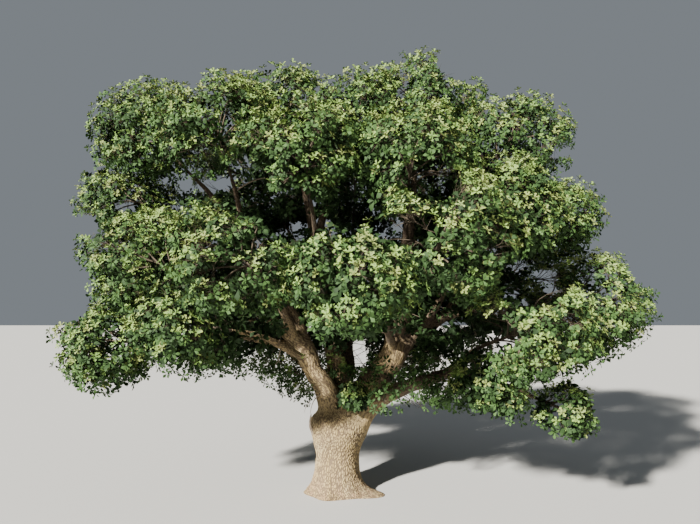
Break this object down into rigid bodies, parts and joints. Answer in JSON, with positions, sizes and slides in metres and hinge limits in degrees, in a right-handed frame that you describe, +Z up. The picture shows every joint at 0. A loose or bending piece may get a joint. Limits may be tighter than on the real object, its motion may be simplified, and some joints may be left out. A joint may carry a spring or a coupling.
{
  "type": "oak tree",
  "caption": "broad open-grown oak with a flared trunk, forking boughs and a wide domed leafy crown, rooted in level ground",
  "frame": {"origin": "middle of the flat cut under the trunk, at ground level", "axes": "+Z up, +X to the right and +Y away as seen in the reference view"},
  "size_m": [20.423, 18.6494, 16.468],
  "materials": {
    "bark": "rough fissured bark",
    "leaves": "matte leaves"
  },
  "bodies": {
    "root": {"trunk": "bark", "bough_left": "bark", "bough_right": "bark", "bough_centre": "bark", "bough_right_low": "bark", "bough_back_left": "bark", "bough_back": "bark", "bough_back_right": "bark", "bough_left_upright": "bark", "bough_right_outer": "bark", "limb_left_low": "bark", "limb_left_front_low": "bark", "limb_left_front": "bark", "limb_left_tip": "bark", "limb_top_left": "bark", "limb_centre_left": "bark", "limb_centre_front": "bark", "limb_centre_back": "bark", "limb_right_front": "bark", "limb_front": "bark", "limb_right_front_upper": "bark", "limb_top_far_right": "bark", "limb_right_upper": "bark", "limb_right_middle": "bark", "limb_right_low": "bark", "limb_right_hanging": "bark", "limb_left_back": "bark", "limb_top_back": "bark", "limb_right_back": "bark", "limb_top_back_right": "bark", "foliage_left": "leaves", "foliage_top_right": "leaves", "foliage_top": "leaves", "foliage_right_low": "leaves", "foliage_back_left": "leaves", "foliage_back": "leaves", "foliage_back_right": "leaves", "foliage_top_far_left": "leaves", "foliage_right_tip": "leaves", "foliage_left_low": "leaves", "foliage_left_front_low": "leaves", "foliage_left_front": "leaves", "foliage_left_tip": "leaves", "foliage_top_left": "leaves", "foliage_top_centre_left": "leaves", "foliage_front_upper_left": "leaves", "foliage_top_back_left": "leaves", "foliage_right_front": "leaves", "foliage_front": "leaves", "foliage_front_upper_right": "leaves", "foliage_top_far_right": "leaves", "foliage_right_upper": "leaves", "foliage_right_middle": "leaves", "foliage_right_inner_low": "leaves", "foliage_right_hanging": "leaves", "foliage_left_back": "leaves", "foliage_top_back": "leaves", "foliage_right_back": "leaves", "foliage_top_back_right": "leaves", "foliage_fork": "leaves"}
  },
  "joints": []
}
